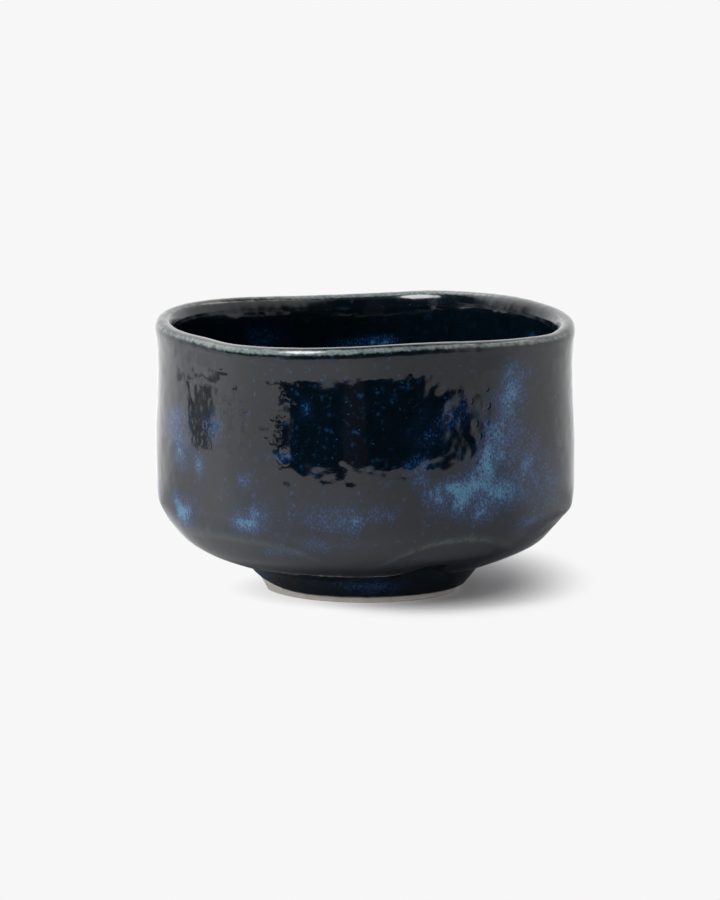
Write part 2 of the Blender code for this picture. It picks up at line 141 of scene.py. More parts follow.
# Where burst bubbles left round pits in the coat, listed like the mottles, and their depth in metres.
PITTED = (
    (189, 0.0600, 9.0, 0.0100, 0.50), (209, 0.0540, 8.0, 0.0140, 0.60), (283, 0.0540, 9.0, 0.0150, 1.00),
    (303, 0.0560, 9.0, 0.0100, 0.80))
PIT_DEPTH = 0.000044
# The share of mottles and of pits all over.
PATCHES_EVERYWHERE = 0.05

# The lip's two pale bands: place and width as shares of the lip's turn from the outside, strength, and what
# is added to the strength by angle (angle, spread, change).
OUTSIDE_BAND = (0.22, 0.108, 1.00, ((210, 36, 0.12), (272, 26, -0.28), (150, 22, -0.42), (318, 22, -0.42)))
TOP_BAND = (0.66, 0.090, 0.85, ((52, 30, 0.30), (106, 20, -0.50), (350, 28, -0.55)))

# Finishes: linear colours, and features to the metre of each texture.
OUTER_BLACK, OUTER_ROUGHNESS = (0.0007, 0.0024, 0.0033), 0.05
LIP_BLACK, LIP_ROUGHNESS = (0.0014, 0.0046, 0.0074), 0.17
INNER_BLACK, INNER_ROUGHNESS, INNER_SPECKS = (0.0008, 0.0029, 0.0031), 0.07, 0.25
FOOT_BLACK, FOOT_ROUGHNESS, WELL_ROUGHNESS = (0.0016, 0.0048, 0.0076), 0.08, 0.10
GLAZE_IOR = 1.70
DEEP_BLUE, FLECK_BLUE, HAZE_BLUE = (0.0045, 0.025, 0.062), (0.010, 0.058, 0.130), (0.0045, 0.024, 0.074)
GRAIN_BLUE, GRAIN_PALE = (0.013, 0.050, 0.155), (0.050, 0.158, 0.262)
THIN_GREY, THIN_PALE, THIN_RUST = (0.100, 0.134, 0.130), (0.205, 0.247, 0.241), (0.110, 0.060, 0.020)
RIDGE_PALE = (0.110, 0.150, 0.140)
CLOUDS, GRAINS, SPOTS, FLECKS = 240.0, 2000.0, 620.0, 1150.0
BREAKS, THIN_CLOUDS, RUST_SPOTS = 520.0, 900.0, 420.0
ROUND_PITS, SKIN_WAVES, SKIN_DEPTH = 280.0, 900.0, 0.000006
DRAWN_UP = (1.0, 1.0, 0.65)
BARE_PALE, BARE_SHADE = (0.80, 0.76, 0.70), (0.70, 0.66, 0.60)
CLAY_PALE, CLAY_SHADE = (0.40, 0.37, 0.33), (0.32, 0.29, 0.255)
IRON_BROWN = (0.10, 0.055, 0.03)
SAND, SAND_DEPTH, CLAY_CLOUDS, IRON_SPOTS = 2600.0, 0.00008, 160.0, 620.0

# The view: the photograph's angle, its distance, and pixels to the millimetre at the bowl's middle.
VIEW_AZIMUTH, VIEW_ELEVATION, VIEW_DISTANCE = -32.0, 8.6, 2.2
PIXELS_PER_MM, BOWL_AT_X, BOWL_AT_Y, BOWL_MIDDLE = 3.5, 364.6, 453.0, 0.039
IMAGE_WIDTH, IMAGE_HEIGHT = 720, 900
SENSOR_WIDTH = 36.0

# The lights: levels, widths in degrees, and the lean of each lamp to the front and left.
BACKDROP = (0.93, 0.93, 0.93)
AMBIENT = (0.47, 0.47, 0.4841)
KEY_LIGHT, KEY_WIDTH, KEY_FRONT, KEY_LEFT = 2.45, 34.0, 0.50, 0.72
FILL_LIGHT, FILL_WIDTH, FILL_FRONT, FILL_LEFT, FILL_RISE = 0.95, 50.0, 0.72, 0.75, 0.25

# The table: its reach from the bowl, and where the shadow shows: its middle to the right and behind, its
# flatness, where it starts to clear and ends, how fast, and the least share of the even white in it. The
# even white has a painted shade beside the foot: its level there and where it ends.
TABLE_FRONT, TABLE_FAR, TABLE_SIDE = 1.4, 3.2, 3.0
TABLE_WHITE = (0.90, 0.90, 0.905)
SHADOW_SIDE, SHADOW_BEHIND, SHADOW_FLATNESS = 0.021, 0.015, 0.6
SHADOW_NEAR, SHADOW_FAR, SHADOW_FALL, SHADOW_LIFT = 0.006, 0.047, 2.2, 0.055
CONTACT_SHADE, CONTACT_END = 0.78, 0.041
# The part of the table that the glaze mirrors: its radius and soft edge, a painted shade beside the foot
# (its level and where it ends), and a dimmer place close behind the bowl (from, to).
MIRRORED_TABLE, MIRRORED_EDGE = 0.345, 0.004
FOOT_SHADE, FOOT_SHADE_END = 0.42, 0.066
BEHIND_FROM, BEHIND_CLOSE, BEHIND_DIM = (0.03, 0.10), (0.13, 0.24), 0.5

# The room that the glaze mirrors, by bearing in degrees, where 0 is towards the camera and positive to its
# right, and by height, the sine of the elevation. Levels of the white boards and of the table all round:
MIRRORED_LEVELS = (
    (-180.0, 1.45), (-150.0, 1.52), (-130.0, 1.15), (-112.0, 0.75), (-90.0, 0.71), (-60.0, 0.76),
    (-20.0, 0.68), (0.0, 0.66), (30.0, 0.50), (50.0, 0.44), (63.0, 0.43), (74.0, 0.66),
    (90.0, 0.74), (110.0, 0.76), (130.0, 0.98), (150.0, 1.15), (180.0, 1.35))
# The dark opening: its edges and their softness, and by how much it is narrower lower down at the right.
OPENING_LEFT, LEFT_SOFT = -62.0, 1.5
OPENING_RIGHT, RIGHT_SOFT = 65.0, 1.6
OPENING_NARROW, NARROW_FROM, NARROW_TO = 6.0, -0.10, -0.19
RAGGED_WIDE, RAGGED_TALL, RAGGED_DEPTH = 16.0, 0.030, 90.0
POST_LEFT, POST_RIGHT, POST_SOFT = 0.0, 20.0, 2.0
ROOM_DARK, POST_DARK = (0.004, 0.006, 0.008), (0.045, 0.034, 0.033)
# A narrow dark strip beside the left board, and flecks round it, which are flatter above the turn.
STRIP_LEFT, STRIP_RIGHT, STRIP_SOFT, STRIP_FOOT = -117.9, -116.1, 0.4, (-0.150, -0.136)
FLECKS_LEFT, FLECKS_RIGHT, FLECKS_SOFT = -124.0, -97.0, 3.0
FLECK_WIDE, FLECK_TALL, FLECK_FLAT, FLECK_TURN = 8.0, 0.035, 0.009, -0.14
FLECK_FROM, FLECK_TO = 0.61, 0.64
STRIP_SHARE = 0.75
# The dark over the left board, the ceiling, and the cream lamp high at the right.
BOARD_LEFT, BOARD_SOFT, BOARD_TOP, BOARD_DARK = -114.0, 1.0, (-0.05, -0.02), (0.030, 0.027, 0.025)
CEILING_FROM, CEILING = (0.84, 0.74), (0.14, 0.14, 0.14)
LAMP_LEFT, LAMP_RIGHT, LAMP_SOFT = 95.0, 135.0, 5.0
LAMP_FOOT, LAMP_TOP, LAMP_CREAM = (0.69, 0.72), (0.80, 0.77), (4.0, 3.8, 3.2)


def bell(angles, centre, spread):
    """exp(-(d / spread)^2), where d is the angle from the centre in degrees, the short way round."""
    apart = (np.degrees(angles) - centre + 180.0) % 360.0 - 180.0
    return np.exp(-((apart / spread) ** 2))


def squared(angles, radius, height):
    """A mean radius times 1 - s cos 4a, a rounded square in plan; s grows from the underside to the heel."""
    rise = np.clip((height - UNDER_HEIGHT) / (HEEL_HEIGHT - UNDER_HEIGHT), 0.0, 1.0)
    return radius * (1.0 - SQUARENESS * rise * np.cos(4.0 * angles))


def lip_wave(angles):
    """How far the lip rises: a lean, cos a, a wave, cos 3a, and bells for single dips and rises."""
    wave = LIP_LEAN * np.cos(angles - math.radians(LIP_LEAN_ANGLE))
    wave = wave + LIP_WAVE * np.cos(3.0 * (angles - math.radians(LIP_WAVE_ANGLE)))
    return wave - sum(drop * bell(angles, at, wide) for at, wide, drop in LIP_DIPS)


def smooth_through(stations):
    """Cubic Hermite curves through the stations, pairs of radius and height that may go by angle. The slopes
    go by chord length. Gives angle by point by (radius, height)."""
    points = np.stack([np.stack(np.broadcast_arrays(*values), 1) for values in zip(*stations)], -1)
    chords = np.diff(points, axis=1)
    spans = np.linalg.norm(chords, axis=-1, keepdims=True)
    inner = (points[:, 2:] - points[:, :-2]) / (spans[:, 1:] + spans[:, :-1])
    slopes = np.concatenate([chords[:, :1] / spans[:, :1], inner, chords[:, -1:] / spans[:, -1:]], 1)
    t = np.linspace(0.0, 1.0, STRETCH_POINTS, endpoint=False)[None, None, :, None]
    s = 1.0 - t
    a, b = points[:, :-1, None], points[:, 1:, None]
    u, v = slopes[:, :-1, None] * spans[:, :, None], slopes[:, 1:, None] * spans[:, :, None]
    curve = a * (1 + 2 * t) * s**2 + u * t * s**2 + b * t**2 * (3 - 2 * t) - v * t**2 * s
    return np.concatenate([curve.reshape(len(points), -1, 2), points[:, -1:]], 1)


class Skin:
    """The glazed surface at a number of angles: foot cone, underside, wall, lip and inside in one run."""

    def __init__(self, count):
        self.angles = np.arange(count) * (2.0 * math.pi / count)
        self.swell = FOOT_SWELL * bell(self.angles, FOOT_SWELL_ANGLE, FOOT_SWELL_SPREAD)
        foot, wall, lip, inside = self.profiles()
        self.curve = np.concatenate([foot, wall, lip, inside], 1)
        steps = np.linalg.norm(np.diff(self.curve, axis=1), axis=-1)
        self.run = np.concatenate([np.zeros((count, 1)), np.cumsum(steps, 1)], 1)
        wall_from = foot.shape[1]
        lip_from = wall_from + wall.shape[1]
        self.meet = self.run[:, wall_from]
        self.lip_out = self.run[:, lip_from - 1]
        self.lip_in = self.run[:, lip_from + lip.shape[1]]
        self.end = self.run[:, -1]
        line = BARE_EDGE + BARE_RISE * bell(self.angles, BARE_ANGLE, BARE_SPREAD)
        self.bare = self.place_at_height(0, wall_from + 1, line)
        line = RIDGE_HEIGHT - sum(drop * bell(self.angles, at, wide) for at, wide, drop in RIDGE_DIPS)
        self.ridge = self.place_at_height(wall_from, lip_from, line)
        self.raise_ridge()

    def profiles(self):
        """Foot, wall, lip and inside for every angle, as points of (radius, height). The foot is a straight
        cone, the wall and the inside are smooth curves through stations, and the lip is half a superellipse
        that leans on the inside."""
        a = self.angles
        stroke = STROKE_RISE * bell(a, STROKE_ANGLE, STROKE_SPREAD)
        trim = stroke - TRIM_DROP * bell(a, TRIM_ANGLE, TRIM_SPREAD)
        lean = SHAVE_LEAN * np.cos(a - math.radians(SHAVE_LEAN_ANGLE))
        wave = lip_wave(a)
        lip_z = LIP_HEIGHT + wave
        neck_z = NECK_HEIGHT + wave * WAVE_AT_NECK
        waist_z = WAIST_HEIGHT + wave * WAVE_AT_WAIST
        lip_r = squared(a, LIP_RADIUS, LIP_HEIGHT)
        waist_r = squared(a, WAIST_RADIUS, WAIST_HEIGHT)
        belly_r = squared(a, BELLY_RADIUS, BELLY_HEIGHT)
        heel_r = squared(a, HEEL_RADIUS, HEEL_HEIGHT)

        cone = math.hypot(FOOT_FLARE, FOOT_HEIGHT) / FOOT_HEIGHT * (GLAZE + CLEARANCE)
        meet_z = FOOT_HEIGHT + trim
        meet_r = FOOT_RADIUS + FOOT_FLARE * meet_z / FOOT_HEIGHT + cone
        start = (FOOT_RADIUS + cone + self.swell)[:, None]
        share = np.linspace(0.0, 1.0, STRETCH_POINTS, endpoint=False)[None, :]
        foot = np.stack([start + (meet_r[:, None] - start) * share, meet_z[:, None] * share], -1)

        wall = smooth_through((
            (meet_r, meet_z), (UNDER_RADIUS + lean, UNDER_HEIGHT + trim * STROKE_SHARE),
            (squared(a, BEVEL_FOOT_RADIUS, BEVEL_FOOT_HEIGHT) + lean, BEVEL_FOOT_HEIGHT),
            (squared(a, BEVEL_RADIUS, BEVEL_HEIGHT) + lean, BEVEL_HEIGHT),
            (heel_r, HEEL_HEIGHT), (belly_r, BELLY_HEIGHT), (waist_r, waist_z),
            (squared(a, NECK_RADIUS, NECK_HEIGHT), neck_z), (lip_r, lip_z)))

        turn = np.linspace(0.0, math.pi, LIP_POINTS + 2)[1:-1][None, :]
        across = LIP_ROUND * np.sign(np.cos(turn)) * np.abs(np.cos(turn)) ** (2.0 / LIP_FULLNESS)
        up = LIP_RISE * np.sin(turn) ** (2.0 / LIP_FULLNESS)
        across = across - LIP_INSIDE_LEAN * np.where(turn > math.pi / 2, LIP_RISE - up, 0.0)
        lip = np.stack([lip_r[:, None] - LIP_ROUND + across, lip_z[:, None] + up], -1)

        lip_inside = lip_r - 2 * LIP_ROUND - LIP_INSIDE_LEAN * LIP_RISE
        rim_z = FLOOR_HEIGHT + FLOOR_RIM
        inside = smooth_through((
            (lip_inside, lip_z), (lip_inside - LIP_INSIDE_DRAW, lip_z - LIP_INSIDE_DROP),
            (waist_r - WAIST_WALL, waist_z), (belly_r - BELLY_WALL, BELLY_HEIGHT),
            (heel_r - HEEL_WALL, HEEL_HEIGHT), (FLOOR_RADIUS + BEND_REACH, rim_z + BEND_RISE),
            (FLOOR_RADIUS, rim_z), (POOL_RADIUS, FLOOR_HEIGHT), (0.0, FLOOR_HEIGHT - POOL_DEPTH)))
        return foot, wall, lip, inside

    def normals(self):
        """The curve's direction turned a quarter, out of the clay, of length 1."""
        go = np.gradient(self.curve, axis=1)
        out = np.stack([go[..., 1], -go[..., 0]], -1)
        return out / np.linalg.norm(out, axis=-1, keepdims=True)

    def place_at_height(self, first, last, height):
        """For every angle, the run at which a stretch of the curve reaches a height. The points below it are
        counted, and the run is read straight between the last of them and the next."""
        z, run = self.curve[:, first:last, 1], self.run[:, first:last]
        below = np.clip((z < height[:, None]).sum(1) - 1, 0, run.shape[1] - 2)
        rows = np.arange(len(run))
        low, high = z[rows, below], z[rows, below + 1]
        share = (height - low) / (high - low)
        return run[rows, below] * (1.0 - share) + run[rows, below + 1] * share

    def raise_ridge(self):
        """Lifts the curve along its normals by a bell across the ridge, lower in its dips and where worn."""
        crest = 1.0 - sum(RIDGE_FADE * bell(self.angles, at, wide) for at, wide, drop in RIDGE_DIPS)
        self.crest = np.clip(crest - bell(self.angles, *RIDGE_WORN), 0.0, 1.0)
        away = (self.run - self.ridge[:, None]) / RIDGE_HALF
        lift = RIDGE_RISE * self.crest[:, None] * np.exp(-(away**2))
        self.curve = self.curve + self.normals() * lift[..., None]
        self.normal = self.normals()

    def past_meet(self, place):
        """How far places lie beyond the line where the foot's coat and the wall's meet, row by angle."""
        return (place - self.meet[:, None]).T

    def rows(self, place, depth):
        """Points in space at places along the run, row by angle, set into the clay by a depth. All angles
        are laid end to end on one long line, so that one interpolation reads them all."""
        far = (np.arange(len(self.run)) * 2.0 * self.run.max())[:, None]
        line, at = (self.run + far).ravel(), (place + far).ravel()
        r, z, out_r, out_z = (
            np.interp(at, line, values.ravel()).reshape(place.shape)
            for values in (self.curve[..., 0], self.curve[..., 1], self.normal[..., 0], self.normal[..., 1]))
        size = np.hypot(out_r, out_z)
        r, z = np.maximum(r - depth * out_r / size, 0.0), z - depth * out_z / size
        a = self.angles[:, None]
        return np.stack([r * np.cos(a), r * np.sin(a), z], -1).transpose(1, 0, 2)


def between(start, end, count):
    """Places from one line to another, angle by row, evenly spread."""
    return start[:, None] + (end - start)[:, None] * np.linspace(0.0, 1.0, count)[None, :]


def random_waves(seed, count, shortest, longest):
    """Lengths, headings and phases of a number of waves, each drawn evenly from its range."""
    rng = np.random.default_rng(seed)
    length = rng.uniform(shortest, longest, count)
    heading = rng.uniform(0.0, 2.0 * math.pi, count)
    phase = rng.uniform(0.0, 2.0 * math.pi, count)
    return length, heading, phase


def wave_field(angles, run, seed, count, shortest, longest):
    """A sum of plane waves on the unrolled wall. Each has a whole number of waves round the bowl, so the
    field closes on itself. It is scaled to a root mean square of 1."""
    length, heading, phase = random_waves(seed, count, shortest, longest)
    around = np.round(2.0 * math.pi * BELLY_RADIUS / length * np.cos(heading))
    along = 2.0 * math.pi / length * np.sin(heading)
    total = np.zeros(run.shape)
    for m, k, p in zip(around, along, phase):
        total += np.cos(m * angles[None, :] + k * run + p)
    return total / math.sqrt(count / 2.0)


def plan_field(grid, seed, count, shortest, longest):
    """The like sum of plane waves across the plan, for the floor, where waves round the bowl would crowd."""
    total = np.zeros(grid.shape[:2])
    for length, heading, phase in zip(*random_waves(seed, count, shortest, longest)):
        along = grid[..., 0] * math.cos(heading) + grid[..., 1] * math.sin(heading)
        total += np.cos(2.0 * math.pi / length * along + phase)
    return total / math.sqrt(count / 2.0)


def surface_normals(grid):
    """Cross product of the step round the bowl and the step along the rows, of length 1."""
    around = np.roll(grid, -1, 1) - np.roll(grid, 1, 1)
    along = np.gradient(grid, axis=0)
    out = np.cross(around, along)
    return out / np.maximum(np.linalg.norm(out, axis=-1, keepdims=True), 1e-12)


def coat_relief(grid, angles, run, seed, share=1.0):
    """Moves a grid of points along its normals by three sums of waves: citrus-skin dimples, smaller pits
    between them, and the long swells of the hand. They are still where the foot's coat and the wall's meet,
    lower at the smoothed angles, and can be lowered by a share at each point."""
    raised = np.zeros(run.shape)
    for turn, (height, *waves) in enumerate((DIMPLES, PITS, SWELLS)):
        raised += height * wave_field(angles, run, seed + turn, *waves)
    calm = np.clip(np.abs(run) / CALM_LENGTH, 0.0, 1.0)
    for at, wide, eased in SMOOTHED:
        calm = calm * (1.0 - eased * bell(angles, at, wide))[None, :]
    return grid + surface_normals(grid) * (raised * calm * share)[..., None]


def patch_share(angles, heights, patches):
    """One minus the product of (1 - strength x bell in angle x bell in height) over the patches, and the low
    share that is everywhere."""
    clear = np.full(heights.shape, 1.0 - PATCHES_EVERYWHERE)
    for at, height, wide, tall, strength in patches:
        upright = np.exp(-(((heights - height) / tall) ** 2))
        clear *= 1.0 - strength * bell(angles, at, wide)[None, :] * upright
    return 1.0 - clear


def net(name, rings, looped, first_pole=None, last_pole=None):
    """A closed surface from rings of points, row by angle, joined by four-sided faces. The last ring joins
    the first if it is looped, and otherwise each open end closes to a pole."""
    count, n = rings.shape[:2]
    points = rings.reshape(-1, 3)
    row, turn = np.arange(count if looped else count - 1)[:, None], np.arange(n)
    low, high, ahead = row * n, (row + 1) % count * n, (turn + 1) % n
    faces = np.stack([low + turn, low + ahead, high + ahead, high + turn], -1).reshape(-1, 4).tolist()
    if first_pole is not None:
        points = np.concatenate([points, [first_pole]])
        faces += np.stack([np.full(n, len(points) - 1), ahead, turn], -1).tolist()
    if last_pole is not None:
        points = np.concatenate([points, [last_pole]])
        base = (count - 1) * n
        faces += np.stack([np.full(n, len(points) - 1), base + turn, base + ahead], -1).tolist()
    mesh = bpy.data.meshes.new(name)
    mesh.from_pydata(points.tolist(), [], faces)
    mesh.shade_smooth()
    mesh.set_sharp_from_angle(angle=math.radians(SHARP_FROM))
    made = bpy.data.objects.new(name, mesh)
    bpy.context.scene.collection.objects.link(made)
    return made


def note(piece, name, values):
    """Keeps a number at each of the piece's first points for its material to read, and 0 at the rest."""
    whole = np.zeros(len(piece.data.vertices), np.float32)
    values = np.asarray(values, np.float32).ravel()
    whole[:len(values)] = values
    piece.data.attributes.new(name, "FLOAT", "POINT").data.foreach_set("value", whole)


def dress(piece, node, material):
    """Puts the piece in the place of its solid, on the one body, with its finish."""
    piece.data.materials.append(material)
    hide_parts(node)
    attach(piece, "root")


def make_outer_glaze(skin, material):
    """The wall's coat: rows from the foot's meeting line to the lip's band, and a plain back under it. It is
    thin along the ridge. Along the meeting line it is pale: thin glaze, and partly a painted reflection of
    the table."""
    end = skin.lip_out - LIP_BAND
    place = between(skin.meet, end, OUTER_ROWS)
    run = skin.past_meet(place)
    front = coat_relief(skin.rows(place, 0.0), skin.angles, run, OUTSIDE_SEED)
    back = skin.rows(between(end, skin.meet, OUTER_BACK_ROWS), GLAZE)
    piece = net("outer_glaze_coat", np.concatenate([front, back]), True)
    heights = front[..., 2]
    note(piece, "blue", patch_share(skin.angles, heights, RIGHT_STREAK + FRONT_SPOTS + BACK_SPOTS))
    note(piece, "pitted", patch_share(skin.angles, heights, PITTED))
    # Pale along the meeting line: thin glaze, and partly a painted reflection of the table.
    note(piece, "thin", MEET_THIN_AND_REFLECTION * np.exp(-((run / MEET_FADE) ** 2)))
    off_ridge = ((place - skin.ridge[:, None]) / RIDGE_PALE_HALF).T
    shown = skin.crest * (1.0 - RIDGE_COVER * bell(skin.angles, *RIDGE_COVERED))
    note(piece, "crest", shown[None, :] * np.exp(-(off_ridge**2)))
    dress(piece, "outer_glaze", material)


def lip_thinness(skin, place):
    """Bells across the lip's outer shoulder and across its top, each stronger or weaker by angle. The share
    of the lip's turn is 0 at the outside and 1 at the inside."""
    share = ((place - skin.lip_out[:, None]) / (skin.lip_in - skin.lip_out)[:, None]).T
    thin = np.zeros(share.shape)
    for centre, width, strength, changes in (OUTSIDE_BAND, TOP_BAND):
        by_angle = strength + sum(change * bell(skin.angles, at, wide) for at, wide, change in changes)
        thin += by_angle * np.exp(-(((share - centre) / width) ** 2))
    return thin


def make_lip_glaze(skin, material):
    """The band over the lip: rows round its turn and a little way down both sides, with a plain back."""
    start, end = skin.lip_out - LIP_BAND, skin.lip_in + LIP_BAND
    place = between(start, end, LIP_ROWS)
    front = coat_relief(skin.rows(place, 0.0), skin.angles, skin.past_meet(place), OUTSIDE_SEED)
    back = skin.rows(between(end, start, LIP_BACK_ROWS), GLAZE)
    piece = net("lip_glaze_coat", np.concatenate([front, back]), True)
    note(piece, "blue", np.zeros(front.shape[:2]))
    note(piece, "thin", lip_thinness(skin, place))
    dress(piece, "lip_glaze", material)


def make_inner_glaze(skin, material):
    """The inside coat: rows from the lip's band down the wall to the middle of the floor, with a plain back.
    The wall's relief fades out towards the middle, and waves across the plan take its place there."""
    start = skin.lip_in + LIP_BAND
    place = between(start, skin.end, INNER_ROWS)[:, :-1]
    smooth = skin.rows(place, 0.0)
    radius = np.hypot(smooth[..., 0], smooth[..., 1])
    off_floor = np.clip((radius - FLOOR_STILL) / FLOOR_REACH, 0.0, 1.0) ** 2
    front = coat_relief(smooth, skin.angles, skin.past_meet(place), INSIDE_SEED, off_floor)
    height, *waves = FLOOR_WAVES
    front[..., 2] += (1.0 - off_floor) * height * plan_field(smooth, FLOOR_SEED, *waves)
    back = skin.rows(between(skin.end, start, INNER_BACK_ROWS)[:, 1:], GLAZE)
    middle = FLOOR_HEIGHT - POOL_DEPTH
    rings = np.concatenate([back, front])
    piece = net("inner_glaze_coat", rings, False, (0, 0, middle - GLAZE), (0, 0, middle))
    note(piece, "blue", patch_share(skin.angles, rings[..., 2], INSIDE_SPOTS))
    note(piece, "thin", np.zeros(rings.shape[:2]))
    dress(piece, "inner_glaze", material)


def make_foot_glaze(skin, material):
    """The foot's coat: rows from the bare edge's line to the meeting line, with a plain back. It tapers to
    its edge by a bell."""
    place = between(skin.bare, skin.meet, FOOT_ROWS)
    edge = np.exp(-(((place - skin.bare[:, None]) / FOOT_TAPER) ** 2))
    front = coat_relief(skin.rows(place, GLAZE * edge), skin.angles, skin.past_meet(place), OUTSIDE_SEED)
    back = skin.rows(between(skin.meet, skin.bare, FOOT_BACK_ROWS), GLAZE + CLEARANCE / 2)
    piece = net("foot_glaze_coat", np.concatenate([front, back]), True)
    note(piece, "blue", patch_share(skin.angles, front[..., 2], FOOT_SPOTS))
    note(piece, "thin", FOOT_THIN * edge.T)
    dress(piece, "foot_glaze", material)


def turned(angles, profile):
    """A profile of (radius, height) points turned about the upright axis: row by angle."""
    r, z = (np.asarray(values, float)[:, None] for values in zip(*profile))
    a = angles[None, :]
    return np.stack(np.broadcast_arrays(r * np.cos(a), r * np.sin(a), z), -1)


def well_radius(z):
    """The well's radius at a height: it draws in evenly from the standing face up to the seat."""
    return FOOT_RADIUS - FOOT_RING_WIDTH - WELL_DRAFT * z / SEAT_HEIGHT


def cone_radius(z):
    """The foot's outer radius at a height: it flares evenly from the standing face up."""
    return FOOT_RADIUS + FOOT_FLARE * z / FOOT_HEIGHT


def quarter_round(centre, reach, rise, turns):
    """Points of a quarter ellipse at some turns: the centre plus (reach cos t, rise sin t)."""
    return [(centre[0] + reach * math.cos(t), centre[1] + rise * math.sin(t)) for t in turns]


def make_foot_ring(skin, material):
    """The turned ring: a level standing face, rounded edges, the coned side, the top and the well's wall.
    Its outside swells at one side, less towards the top."""
    top = SEAT_HEIGHT - CLEARANCE
    turns = np.linspace(-math.pi / 2, 0.0, 7)
    low_in, low_out = well_radius(0.0) + FOOT_EDGE, FOOT_RADIUS - FOOT_EDGE
    profile = [(r, 0.0) for r in np.linspace(low_in, low_out, 8)]
    profile += quarter_round((low_out, FOOT_EDGE), cone_radius(FOOT_EDGE) - low_out, FOOT_EDGE, turns[1:])
    profile += [(cone_radius(z), z) for z in np.linspace(FOOT_EDGE, top, 12)[1:]]
    profile += [(r, top) for r in np.linspace(cone_radius(top), well_radius(top), 4)[1:]]
    profile += [(well_radius(z), z) for z in np.linspace(top, FOOT_EDGE, 8)[1:]]
    profile += quarter_round((low_in, FOOT_EDGE), well_radius(FOOT_EDGE) - low_in, FOOT_EDGE, turns[-2:0:-1])
    rings = turned(skin.angles, profile)
    r, z = np.hypot(rings[..., 0], rings[..., 1]), rings[..., 2]
    outside = np.clip((r - low_in) / (low_out - low_in), 0.0, 1.0) * np.clip(1.0 - z / FOOT_HEIGHT, 0.0, 1.0)
    rings[..., :2] *= (1.0 + outside * skin.swell[None, :] / r)[..., None]
    dress(net("foot_ring_clay", rings, True), "foot_ring", material)


def make_foot_well_glaze(skin, material):
    """The well's lining: a ceiling that rounds into the wall, down to the bare edge, and its back."""
    ceiling = SEAT_HEIGHT - CLEARANCE
    under = ceiling - GLAZE
    bend_z = under - WELL_BEND
    bend_r = well_radius(bend_z) - CLEARANCE - GLAZE - WELL_BEND
    profile = [(r, ceiling) for r in np.linspace(0.0, well_radius(ceiling) - CLEARANCE, 10)[1:]]
    profile += [(well_radius(z) - CLEARANCE, z) for z in np.linspace(ceiling, BARE_EDGE, 8)[1:]]
    profile += [(well_radius(z) - CLEARANCE - GLAZE, z) for z in np.linspace(BARE_EDGE, bend_z, 7)]
    profile += quarter_round((bend_r, bend_z), WELL_BEND, WELL_BEND, np.linspace(0.0, math.pi / 2, 9)[1:])
    profile += [(r, under) for r in np.linspace(bend_r, 0.0, 12)[1:-1]]
    rings = turned(skin.angles, profile)
    piece = net("foot_well_coat", rings, False, (0, 0, ceiling), (0, 0, under))
    note(piece, "blue", np.full(rings.shape[:2], WELL_BLUE))
    note(piece, "thin", np.zeros(rings.shape[:2]))
    dress(piece, "foot_well_glaze", material)


